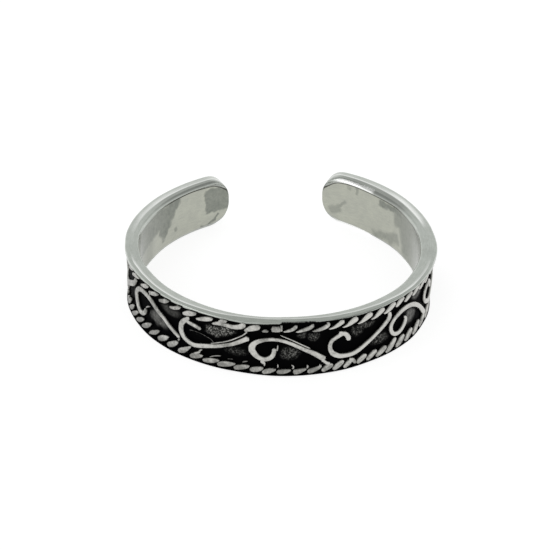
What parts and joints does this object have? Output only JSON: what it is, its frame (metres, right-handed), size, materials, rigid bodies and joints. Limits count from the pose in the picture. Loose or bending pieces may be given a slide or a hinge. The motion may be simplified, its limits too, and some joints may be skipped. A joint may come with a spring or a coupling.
{
  "type": "toe ring",
  "caption": "Open silver toe ring, a narrow band with black-ground relief scrolls between rope borders in front and plain rounded ends behind.",
  "frame": {"origin": "centre of the bore that the toe goes through, at half the height of the band", "axes": "+Z along the toe, up when the ring lies on its side; -Y towards the ornament in front; +Y towards the gap between the two ends; +X to the right seen from the front"},
  "size_m": [0.0176, 0.017, 0.0032],
  "materials": {
    "silver": "polished sterling silver, the ornament's background blackened"
  },
  "bodies": {
    "root": {"toe_ring": "silver"}
  },
  "joints": []
}
